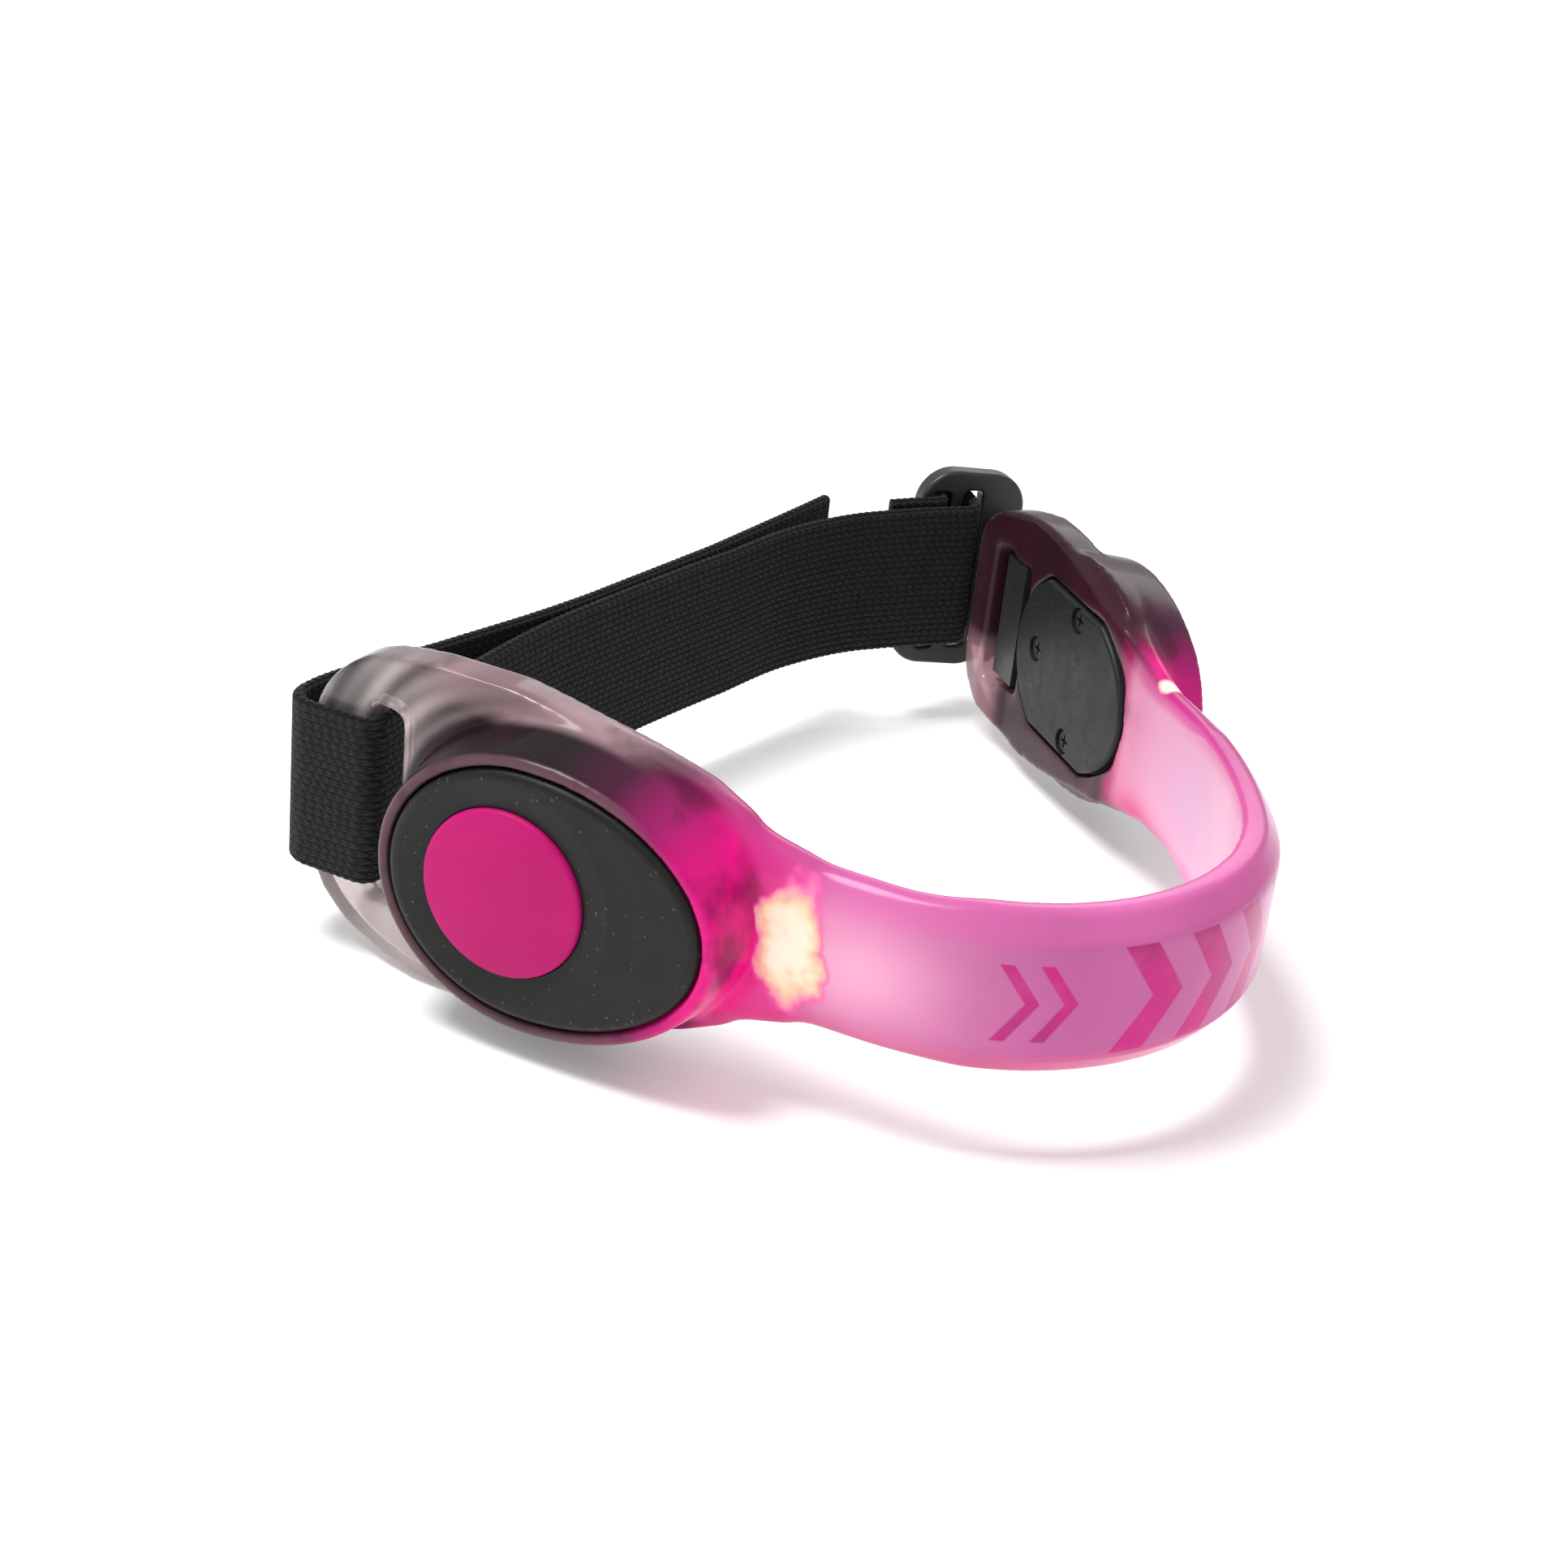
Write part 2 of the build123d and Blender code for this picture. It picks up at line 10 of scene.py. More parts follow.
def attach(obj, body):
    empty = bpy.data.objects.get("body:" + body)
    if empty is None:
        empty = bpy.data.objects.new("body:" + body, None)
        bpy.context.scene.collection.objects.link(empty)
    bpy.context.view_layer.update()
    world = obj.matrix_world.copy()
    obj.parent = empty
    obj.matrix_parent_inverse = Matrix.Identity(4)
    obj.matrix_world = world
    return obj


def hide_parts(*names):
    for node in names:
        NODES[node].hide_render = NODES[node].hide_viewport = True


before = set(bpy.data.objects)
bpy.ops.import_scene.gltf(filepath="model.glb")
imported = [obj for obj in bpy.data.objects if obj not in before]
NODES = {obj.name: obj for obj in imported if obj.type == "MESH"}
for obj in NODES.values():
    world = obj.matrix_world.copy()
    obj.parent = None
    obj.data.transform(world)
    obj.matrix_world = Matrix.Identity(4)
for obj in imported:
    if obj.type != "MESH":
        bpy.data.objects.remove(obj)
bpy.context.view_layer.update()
MM = 0.001
PER_M = 1000


def linear(r, g, b):
    """Screen colour 0-255 as linear RGB."""
    def one(c):
        c /= 255
        return c / 12.92 if c <= 0.04045 else ((c + 0.055) / 1.055) ** 2.4
    return np.array((one(r), one(g), one(b)))


# ---- camera ---------------------------------------------------------------------------------------
CAMERA_TARGET = Vector((-5.85, -17.673, 19.0)) * MM
SWING, TILT, ROLL = 0.4172965, 0.4537856, 0.111796    # radians
DISTANCE, LENS = 304.58 * MM, 61.37


def place_camera():
    forward = Vector((-sin(SWING) * cos(TILT), cos(SWING) * cos(TILT), -sin(TILT)))
    right = Vector((cos(SWING), sin(SWING), 0))
    up = right.cross(forward)
    x_axis = right * cos(ROLL) + up * sin(ROLL)
    y_axis = up * cos(ROLL) - right * sin(ROLL)
    camera = bpy.data.objects.new("camera", bpy.data.cameras.new("camera"))
    place = Matrix((x_axis, y_axis, -forward)).transposed().to_4x4()
    place.translation = CAMERA_TARGET - forward * DISTANCE
    camera.matrix_world = place
    camera.data.sensor_fit = "HORIZONTAL"
    camera.data.sensor_width = 36
    camera.data.lens = LENS
    camera.data.clip_start, camera.data.clip_end = 0.01, 20
    bpy.context.collection.objects.link(camera)
    bpy.context.scene.camera = camera


place_camera()


# ---- node helpers ---------------------------------------------------------------------------------
class Nodes:
    """A material's node tree with short calls for making and joining nodes."""

    def __init__(self, name):
        self.material = bpy.data.materials.new(name)
        self.material.use_nodes = True
        self.tree = self.material.node_tree
        self.tree.nodes.clear()
        self.out = self.tree.nodes.new("ShaderNodeOutputMaterial")

    def add(self, kind, inputs=None, **settings):
        node = self.tree.nodes.new("ShaderNode" + kind)
        for key, value in settings.items():
            setattr(node, key, value)
        for key, value in (inputs or {}).items():
            self.put(node.inputs[key], value)
        return node

    def put(self, socket, value):
        if isinstance(value, bpy.types.NodeSocket):
            self.tree.links.new(value, socket)
        elif isinstance(value, (tuple, list, np.ndarray)) and len(value) == 3 and socket.type == "RGBA":
            socket.default_value = (*[float(v) for v in value], 1)
        else:
            socket.default_value = value

    def attribute(self, name, output="Fac"):
        return self.add("Attribute", attribute_name=name).outputs[output]

    def plan(self):
        """The UV layer's two distances in millimetres."""
        split = self.add("SeparateXYZ", {0: self.add("UVMap", uv_map="along").outputs[0]})
        return split.outputs[0], split.outputs[1]

    def math(self, operation, a, b=0.0, c=0.0):
        return self.add("Math", {0: a, 1: b, 2: c}, operation=operation).outputs[0]

    def mix(self, factor, a, b):
        return self.add("Mix", {"Factor": factor, 6: a, 7: b}, data_type="RGBA").outputs[2]

    def step(self, value, low, high, a=0.0, b=1.0):
        return self.add("MapRange", {0: value, 1: low, 2: high, 3: a, 4: b},
                        interpolation_type="SMOOTHSTEP").outputs[0]

    def place(self):
        return self.add("NewGeometry").outputs["Position"]

    def noise(self, scale, detail=2.0, output="Fac"):
        return self.add("TexNoise", {"Vector": self.place(), "Scale": scale,
                                     "Detail": detail}).outputs[output]

    def bump(self, height, distance, strength=1.0):
        return self.add("Bump", {"Height": height, "Distance": distance, "Strength": strength}).outputs[0]

    def principled(self, inputs):
        return self.add("BsdfPrincipled", inputs).outputs[0]

    def surface(self, shader):
        self.tree.links.new(shader, self.out.inputs["Surface"])
        return self.material


# ---- mesh helpers ---------------------------------------------------------------------------------
def new_object(name, vertices, faces, material, body="band", smooth=True):
    mesh = bpy.data.meshes.new(name)
    mesh.from_pydata([tuple(v) for v in vertices], [], faces)
    mesh.update()
    if smooth:
        mesh.polygons.foreach_set("use_smooth", [True] * len(mesh.polygons))
    mesh.materials.append(material)
    thing = bpy.data.objects.new(name, mesh)
    bpy.context.collection.objects.link(thing)
    if body:
        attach(thing, body)
    return thing


def taken(thing):
    """A mesh with the object's modifiers applied; the modifiers are cleared."""
    depsgraph = bpy.context.evaluated_depsgraph_get()
    mesh = bpy.data.meshes.new_from_object(thing.evaluated_get(depsgraph))
    thing.modifiers.clear()
    return mesh


def remeshed(node, name, voxel):
    """A new object with a copy of a CAD node's mesh, rebuilt from even voxels."""
    source = NODES[node]
    mesh = source.data.copy()
    mesh.transform(source.matrix_world)
    skin = bpy.data.objects.new(name, mesh)
    bpy.context.collection.objects.link(skin)
    remesh = skin.modifiers.new("remesh", "REMESH")
    remesh.mode, remesh.voxel_size, remesh.use_smooth_shade = "VOXEL", voxel * MM, True
    skin.data = taken(skin)
    return skin


def add_smooth(thing, iterations, group=""):
    smooth = thing.modifiers.new("smooth", "SMOOTH")
    smooth.factor, smooth.iterations, smooth.vertex_group = 0.5, iterations, group


def read(mesh, field):
    """Positions or normals of a mesh, one row per vertex."""
    values = np.empty(len(mesh.vertices) * 3)
    mesh.vertices.foreach_get(field, values)
    return values.reshape(-1, 3)


def write_places(mesh, points):
    """Set a mesh's positions from millimetres."""
    mesh.vertices.foreach_set("co", (points / PER_M).ravel())


def write_plan(mesh, along, across):
    """Store two distances in millimetres per vertex as a UV layer."""
    corner = np.empty(len(mesh.loops), dtype=int)
    mesh.loops.foreach_get("vertex_index", corner)
    layer = mesh.uv_layers.new(name="along")
    layer.data.foreach_set("uv", np.stack([along[corner], across[corner]], axis=1).ravel())


def only_material(mesh, material):
    mesh.materials.clear()
    mesh.materials.append(material)


def dress(node, material):
    """Give a kept CAD node its material."""
    thing = NODES[node]
    if not thing.data.materials:
        thing.data.materials.append(material)
    for slot in thing.material_slots:
        slot.material = material


# ---- plan of the band -----------------------------------------------------------------------------
FRONT = np.array((-15.35, -46.833))
ARC_1_R, ARC_2_R, TURN_1, TURN_2 = 27.5, 70.0, 113.9, 22.1
RUN, REAR_SCALE, MID_Z = 34.5, 0.83, 19.0
EGG_STRAP_SIDE, EGG_GUIDE_SIDE, EGG_HALF_HEIGHT = 16.4, 20.7, 14.2
FACE_OUT = {"front": 12.5, "rear": 10.4}


def polar(centre, radius, angle):
    return np.array((centre[0] + radius * cos(radians(angle)), centre[1] + radius * sin(radians(angle))))


START = FRONT + (RUN, 0)
CENTRE_1 = START + (0, ARC_1_R)
CENTRE_2 = polar(polar(CENTRE_1, ARC_1_R, TURN_1 - 90), ARC_2_R, TURN_1 + 90)
END = polar(CENTRE_2, ARC_2_R, TURN_1 + TURN_2 - 90)
REAR = polar(END, RUN * REAR_SCALE, TURN_1 + TURN_2)
TO_GUIDE = polar((0, 0), 1, TURN_1 + TURN_2 + 180)
OUTWARD = polar((0, 0), 1, TURN_1 + TURN_2 - 90)
S_BEND = RUN + ARC_1_R * radians(TURN_1)
S_END = S_BEND + ARC_2_R * radians(TURN_2)
S_REAR = S_END + RUN * REAR_SCALE


def band_place(points):
    """Distance along the band from the front pod's middle, and distance out of its inner side."""
    x, y = points[:, 0], points[:, 1]
    a1 = np.degrees(np.arctan2(y - CENTRE_1[1], x - CENTRE_1[0]))
    a2 = np.degrees(np.arctan2(y - CENTRE_2[1], x - CENTRE_2[0]))
    in_front = (x < START[0]) & (y < CENTRE_1[1])
    arc_1 = ~in_front & (a1 >= -90) & (a1 < TURN_1 - 90)
    arc_2 = ~in_front & ~arc_1 & (a2 < TURN_1 + TURN_2 - 90)
    rel = points[:, :2] - REAR
    along = np.where(in_front, x - FRONT[0], S_REAR - rel @ TO_GUIDE)
    out = np.where(in_front, FRONT[1] - y, rel @ OUTWARD)
    along = np.where(arc_1, RUN + ARC_1_R * np.radians(a1 + 90), along)
    out = np.where(arc_1, np.hypot(x - CENTRE_1[0], y - CENTRE_1[1]) - ARC_1_R, out)
    along = np.where(arc_2, S_BEND + ARC_2_R * np.radians(a2 - TURN_1 + 90), along)
    out = np.where(arc_2, np.hypot(x - CENTRE_2[0], y - CENTRE_2[1]) - ARC_2_R, out)
    return along, out


def smooth_step(value, low, high):
    t = np.clip((value - low) / (high - low), 0, 1)
    return t * t * (3 - 2 * t)


def patch(value, middle, width):
    """A soft bell round a middle."""
    return np.exp(-((value - middle) / width) ** 2)


def blend(base, other, share):
    """Values or colours moved towards others by a share from 0 to 1."""
    return base + (other - base) * (share[:, None] if np.ndim(base) == 2 else share)


def egg_gap(x, height, scale):
    """Rough distance outside the egg outline of a pod's face."""
    reach = np.where(x < 0, EGG_STRAP_SIDE, EGG_GUIDE_SIDE) * scale
    ratio = np.sqrt((x / reach) ** 2 + (height / (EGG_HALF_HEIGHT * scale)) ** 2)
    return np.hypot(x, height) * (1 - 1 / np.maximum(ratio, 0.05))


# ---- translucent band -----------------------------------------------------------------------------
HOT_STOPS = ((0.0, (236, 60, 150)), (0.3, (240, 96, 168)), (0.5, (240, 156, 168)),
             (0.75, (244, 206, 170)), (1.0, (250, 236, 212)))


def chevron_mask(n, along, height):
    """Generic printed marks: two small and five large chevrons."""
    lean, blur = -0.6, 0.12
    bend = n.math("ABSOLUTE", height)
    mask = 0.0
    for first, width, half in ([(47.5, 1.3, 4.4), (51.0, 1.3, 4.4)]
                               + [(58.0 + 7.2 * i, 3.4, 6.2) for i in range(5)]):
        slide = n.math("MULTIPLY_ADD", bend, lean, first + width + half * 0.3)
        near = n.math("ABSOLUTE", n.math("SUBTRACT", along, slide))
        bar = n.step(near, width / 2 + blur, width / 2 - blur)
        cut = n.step(bend, half + blur, half - blur)
        mask = n.math("MAXIMUM", mask, n.math("MULTIPLY", bar, cut))
    return mask


def hot_mask(n, along, height, outside):
    """Ragged white-hot spots where the lamps shine into the guide."""
    moved = n.add("VectorMath", {0: n.noise(190, 3, "Color"), 1: (0.5, 0.5, 0.5)}, operation="SUBTRACT")
    offset = n.add("SeparateXYZ", {0: moved.outputs[0]}).outputs
    hot = 0.0
    for at, level, long, tall, stray, face_only in ((27.4, 0.0, 4.2, 9.4, 9.0, True),
                                                    (120.5, 9.4, 1.5, 1.3, 3.0, False)):
        du = n.math("DIVIDE", n.math("MULTIPLY_ADD", offset[0], stray,
                                     n.math("SUBTRACT", along, at)), long)
        dv = n.math("DIVIDE", n.math("MULTIPLY_ADD", offset[1], stray,
                                     n.math("SUBTRACT", height, level)), tall)
        far = n.math("SQRT", n.math("ADD", n.math("MULTIPLY", du, du), n.math("MULTIPLY", dv, dv)))
        spot = n.step(far, 1.3, 0.2)
        hot = n.math("MAXIMUM", hot, n.math("MULTIPLY", spot, outside) if face_only else spot)
    return hot


def tpu_material():
    n = Nodes("pink_tpu")
    dull = n.attribute("dull")
    outside = n.attribute("outside")
    along, height = n.plan()
    mask = n.math("MULTIPLY", chevron_mask(n, along, height), outside)
    mask = n.math("MULTIPLY", mask, n.step(n.noise(260), 0.1, 0.6, 0.72, 1.0))
    print_shade = n.mix(n.step(n.noise(70), 0.35, 0.7), linear(212, 4, 130), linear(166, 6, 106))
    colour = n.mix(n.math("MULTIPLY", mask, 0.92), n.attribute("tint", "Color"), print_shade)
    # dark, broken-up reflections of the module in the collar
    broken = n.math("MULTIPLY", n.step(n.noise(130, 4), 0.47, 0.66, 0.0, 0.6), dull)
    colour = n.mix(broken, colour, (0.035, 0.006, 0.016))
    # cloudy variation inside the moulding
    cloud = n.step(n.noise(38, 3), 0.3, 0.75, 0.9, 1.08)
    colour = n.add("VectorMath", {0: colour, "Scale": cloud}, operation="SCALE").outputs[0]
    frosted = n.principled({
        "Base Color": n.mix(0.08, colour, (0, 0, 0)), "Roughness": n.step(dull, 0, 1, 0.22, 0.3),
        "Normal": n.bump(n.noise(420), 0.00001, 0.2), "IOR": 1.3, "Emission Color": colour,
        "Emission Strength": n.attribute("glow"), "Specular IOR Level": 0.4, "Coat Weight": 0.08,
        "Coat IOR": 1.3, "Coat Roughness": 0.08})
    clear = n.principled({
        "Base Color": colour, "Roughness": 0.13, "IOR": 1.42, "Transmission Weight": 1.0})
    body = n.add("MixShader", {0: n.attribute("frost"), 1: clear, 2: frosted}).outputs[0]
    hot = hot_mask(n, along, height, outside)
    ramp_node = n.add("ValToRGB", {"Fac": hot})
    stops = ramp_node.color_ramp.elements
    stops[0].position, stops[1].position = HOT_STOPS[0][0], HOT_STOPS[-1][0]
    stops[0].color, stops[1].color = (*linear(*HOT_STOPS[0][1]), 1), (*linear(*HOT_STOPS[-1][1]), 1)
    for at, shade in HOT_STOPS[1:-1]:
        stops.new(at).color = (*linear(*shade), 1)
    hot_shade = ramp_node.outputs["Color"]
    white = n.principled({
        "Base Color": hot_shade, "Roughness": 0.6, "Specular IOR Level": 0.1,
        "Emission Color": hot_shade, "Emission Strength": 0.08})
    return n.surface(n.add("MixShader", {0: n.step(hot, 0.12, 0.45), 1: body, 2: white}).outputs[0])


# screen colours by distance along the band, for each side of its surface; the sides differ partly in painted
# light and shade, so each side's colour holds both the plastic's tint and how that side catches the light
OUTER = (
    (-36, (206, 198, 197)), (-22, (186, 172, 172)), (-10, (176, 142, 146)), (2, (172, 128, 138)),
    (9, (160, 92, 122)), (15, (186, 44, 116)), (21, (222, 10, 126)), (27, (220, 46, 142)),
    (31, (220, 116, 174)), (40, (216, 122, 176)), (54, (202, 100, 163)), (80, (210, 111, 170)),
    (100, (216, 118, 175)), (112, (218, 98, 165)), (119, (212, 50, 144)), (125, (150, 30, 92)),
    (131, (62, 26, 40)), (150, (48, 24, 33)), (166, (56, 30, 38)), (176, (128, 100, 106)),
)
INNER = (
    (-36, (226, 214, 214)), (-20, (224, 206, 208)), (5, (206, 150, 172)), (20, (230, 90, 160)),
    (40, (236, 150, 196)), (96, (242, 180, 210)), (118, (244, 172, 206)), (126, (242, 150, 190)),
    (128, (200, 50, 120)), (131, (84, 30, 50)), (150, (56, 28, 38)), (166, (56, 28, 38)),
    (176, (96, 66, 74)),
)
UPPER_RIM = (
    (-36, (160, 154, 153)), (-20, (150, 138, 139)), (-8, (146, 112, 118)), (6, (150, 104, 120)),
    (14, (160, 70, 116)), (22, (196, 56, 132)), (32, (206, 96, 162)), (60, (214, 106, 170)),
    (92, (206, 84, 156)), (106, (192, 52, 140)), (117, (190, 26, 126)), (124, (120, 26, 74)),
    (129, (66, 26, 42)), (150, (50, 25, 34)), (166, (50, 25, 34)), (176, (78, 52, 60)),
)
LOWER_RIM = (
    (-36, (226, 212, 212)), (-20, (222, 200, 202)), (4, (200, 140, 158)), (14, (206, 66, 124)),
    (34, (194, 66, 122)), (60, (214, 84, 132)), (86, (214, 86, 134)), (104, (204, 74, 134)),
    (118, (186, 50, 116)), (128, (84, 34, 54)), (150, (66, 34, 44)), (168, (120, 88, 96)),
    (176, (206, 176, 180)),
)
# the same for the collar walls, by distance from the middle of each pod
FRONT_WALL = ((-20, (22, 14, 17)), (2, (28, 14, 20)), (9, (74, 20, 52)), (14, (150, 22, 98)),
              (20, (222, 8, 126)))
REAR_WALL = ((-20, (44, 27, 34)), (8, (52, 28, 38)), (15, (74, 28, 54)), (20, (150, 24, 98)),
             (25, (222, 30, 136)))


def ramp(at, stops):
    """Linear colour along the band from (distance, screen colour) stops."""
    places = [s for s, _ in stops]
    colours = np.array([linear(*c) for _, c in stops])
    return np.stack([np.interp(at, places, colours[:, i]) for i in range(3)], axis=1)


def fade_in_bevels(mesh):
    """Run the guide's outer bevels out over the sleeve ends; gives the share to smooth further."""
    ends = np.zeros(len(mesh.vertices))
    points = read(mesh, "co") * PER_M
    along, out = band_place(points)
    height = np.abs(points[:, 2] - MID_Z)
    for x, normal, halves in (
        (along, np.array((0, -1)), (17.3, 15.2, 12.6, 10.4, 9.4)),
        ((S_REAR - along) / REAR_SCALE, OUTWARD, (14.4, 12.7, 11.3, 9.8, 9.4)),
    ):
        half = np.interp(x, (2, 12, 21, 28, RUN), halves)
        deep = 2.2 * smooth_step(x, 5, 26) * np.clip((height - half + 3.2) / 3.0, 0, 1)
        inside = (x > 5) & (x < 34.4) & (out > 2) & (out < 5.4)
        drop = np.where(inside, np.maximum(out - (4.7 - deep), 0), 0)
        points[:, :2] -= drop[:, None] * normal
        share = smooth_step(x, 15, 20) * smooth_step(x, 46, 38) * smooth_step(out, 6.4, 5.4)
        ends = np.maximum(ends, share * smooth_step(height, 3, 6))
    write_places(mesh, points)
    return ends


def paint_band(mesh):
    """Store the band's colours and the amounts its material reads, vertex by vertex."""
    points = read(mesh, "co") * PER_M
    normals = read(mesh, "normal")
    along, out = band_place(points)
    height = points[:, 2] - MID_Z
    nudge = points.copy()
    nudge[:, :2] += normals[:, :2] * 0.5
    facing = (band_place(nudge)[1] - out) * 2          # how far the surface faces out of the ring
    outward, inward = np.clip(facing, 0, 1), np.clip(-facing, 0, 1)
    up, down = np.clip(normals[:, 2] * 1.3, 0, 1), np.clip(-normals[:, 2] * 1.3, 0, 1)
    # painted light and shade: the inner, upper and lower sides take their own screen colours
    tint = blend(ramp(along, OUTER), ramp(along, INNER), inward)
    tint = blend(tint, ramp(along, UPPER_RIM), up)
    tint = blend(tint, ramp(along, LOWER_RIM), down)
    frost = np.interp(along, (-30, -22, 0, 12, 22, 112, 124, 130, 142, 166, 174),
                      (0.25, 0.42, 0.45, 0.6, 0.95, 0.95, 0.9, 0.86, 0.84, 0.84, 0.6))
    glow = np.interp(along, (4, 14, 24, 34, 60, 100, 116, 124, 130),
                     (0, 0.05, 0.14, 0.07, 0.04, 0.05, 0.1, 0.04, 0.0)) * (1 - 0.65 * up)
    # the lamp light spreads pale along the start of the guide
    halo = patch(along, 34, 7.5) * patch(height, 0, 5.5) * outward
    tint = blend(tint, linear(250, 186, 214), 0.75 * halo)
    # bent light paints streaks into the clear flange, following the pod's outline
    edge = egg_gap(along, height, 1.0)
    turn = np.arctan2(height, along)
    streak = 0.55 * np.sin(edge * 1.15 + 1.6 * np.sin(turn * 2.0 + 0.6) + 0.4)
    streak += 0.45 * np.sin(edge * 2.6 - 1.9 * np.sin(turn * 3.0) + along * 0.12)
    streak *= smooth_step(along, 24, 6) * smooth_step(height, -7, 2) * smooth_step(edge, 1.5, 4)
    tint = np.clip(tint * (1 + 0.8 * streak)[:, None], 0, 1)
    # the rear lamp lights the top of its sleeve end, and less of it the bottom
    lit = patch(along, 124.5, 4.0) * patch(height, 8, 4.0) * smooth_step(facing, -0.8, -0.2)
    tint = blend(tint, linear(244, 16, 140), 0.9 * lit)
    glow = np.maximum(glow, 0.5 * lit)
    ember = patch(along, 121, 4.5) * patch(height, -9, 3.0)
    tint = blend(tint, linear(236, 24, 124), 0.8 * ember)
    # on the inner side, a painted pale pool of light between deeper painted lines along the guide's edges,
    # where the light fades
    pool = patch(along, 107, 9) * patch(height, 0, 5.2) * inward
    tint = blend(tint, linear(228, 186, 226), 0.6 * pool)
    # painted light: the deeper colour along the inner edges of the guide, round the pool of light
    pool_edge = smooth_step(np.abs(height), 6.4, 9.0) * inward * smooth_step(along, 60, 90)
    pool_edge *= smooth_step(along, 128, 122)
    tint = blend(tint, linear(236, 84, 166), 0.55 * pool_edge)
    # the strap side of the front sleeve is paler low down, the rear one clearer
    low_half = smooth_step(along, -4, -14) * smooth_step(height, -2, -8)
    tint = blend(tint, linear(226, 212, 208), 0.85 * low_half)
    clear_corner = smooth_step(S_REAR - along, -15, -20) * smooth_step(height, -3, -7)
    tint = blend(tint, linear(196, 152, 160), clear_corner)
    frost = blend(frost, 0.5, clear_corner)
    # the share that takes the rougher finish and the painted dark reflections of the module
    dull = smooth_step(along, 122, 130) * (1 - clear_corner)
    # the dark module shows through the collar round it
    for pod_x, scale, (clear_of, close_to), wall in (
        (along, 1.0, (4.9, 3.4), FRONT_WALL),
        (S_REAR - along, REAR_SCALE, (4.4, 2.6), REAR_WALL),
    ):
        near = smooth_step(egg_gap(pod_x, height, scale), clear_of, close_to)
        near *= smooth_step(np.abs(pod_x), 40, 30) * smooth_step(out, 0.9, 2.2)
        tint = blend(tint, ramp(pod_x / scale, wall), near)
        frost = blend(frost, 0.93, near)
        dull = np.maximum(dull, near)
        glow = blend(glow, np.interp(pod_x / scale, (4, 12, 20), (0, 0.04, 0.2)), near)
    # the flange catches the light along its crest
    crest = smooth_step(height, 14.6, 16.8) * smooth_step(along, -22, -12) * smooth_step(along, 20, 8)
    tint = blend(tint, linear(202, 166, 172), 0.6 * crest * smooth_step(out, 6.5, 4.5))
    # a painted highlight, a paler line, runs round the lip of the front collar
    lip = smooth_step(out, 11.5, 12.1) * smooth_step(edge, 4, 3) * (along < 40)
    tint = blend(tint, linear(150, 108, 118), 0.4 * lip * smooth_step(along, 16, 8))
    colour = mesh.color_attributes.new("tint", "FLOAT_COLOR", "POINT")
    colour.data.foreach_set("color", np.concatenate([tint, np.ones((len(tint), 1))], axis=1).ravel())
    outside = np.clip(facing * 2 - 0.4, 0, 1)
    for name, values in (("frost", frost), ("glow", glow), ("outside", outside), ("dull", dull)):
        mesh.attributes.new(name, "FLOAT", "POINT").data.foreach_set("value", values.astype("f"))
    write_plan(mesh, along, height)


def make_band():
    """The CAD light band as one softly rounded skin with its bevels run out, painted."""
    skin = remeshed("light_band", "band_skin", 0.34)
    ends = fade_in_bevels(skin.data)
    melt = skin.vertex_groups.new(name="melt")
    for level in range(1, 11):
        melt.add([int(i) for i in np.flatnonzero(np.round(ends * 10) == level)], level / 10, "REPLACE")
    add_smooth(skin, 160, "melt")
    add_smooth(skin, 24)
    skin.data = taken(skin)
    only_material(skin.data, tpu_material())
    paint_band(skin.data)
    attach(skin, "band")
    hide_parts("light_band")


make_band()


# ---- knitted strap --------------------------------------------------------------------------------
def strap_material():
    n = Nodes("webbing")
    along, across = n.plan()
    # columns of chain stitches: a V in each cell, shifted column by column
    pitch, stitch = 0.86, 1.15
    column = n.math("DIVIDE", across, pitch)
    inside = n.math("ABSOLUTE", n.math("SUBTRACT", n.math("FRACT", column), 0.5))
    jitter = n.add("TexWhiteNoise", {"W": n.math("FLOOR", column)}, noise_dimensions="1D").outputs["Value"]
    shift = n.math("ADD", n.math("MULTIPLY", inside, 1.1), jitter)
    run = n.math("ADD", n.math("DIVIDE", along, stitch), shift)
    wave = n.math("ABSOLUTE", n.math("SUBTRACT", n.math("FRACT", run), 0.5))
    yarn = n.step(wave, 0.02, 0.46, 1.0, 0.0)
    crown = n.step(inside, 0.5, 0.2)
    height = n.math("MULTIPLY", n.math("MULTIPLY_ADD", yarn, 0.7, 0.3), crown)
    height = n.math("MULTIPLY_ADD", n.noise(2600, 3), 0.25, height)      # fuzz
    worn = n.step(n.noise(300, 3), 0.2, 0.8, 0.55, 1.0)
    # painted shade: the low parts between the stitches are darker in the base colour, with the worn mottling
    # on top
    shade = n.math("MULTIPLY", n.step(height, 0.15, 1.05), worn)
    return n.surface(n.principled({
        "Base Color": n.mix(shade, (0.0008, 0.0008, 0.0009), (0.0185, 0.0185, 0.019)),
        "Roughness": 0.85, "Normal": n.bump(height, 0.0004), "Sheen Weight": 0.05,
        "Sheen Roughness": 0.5, "Specular IOR Level": 0.25}))


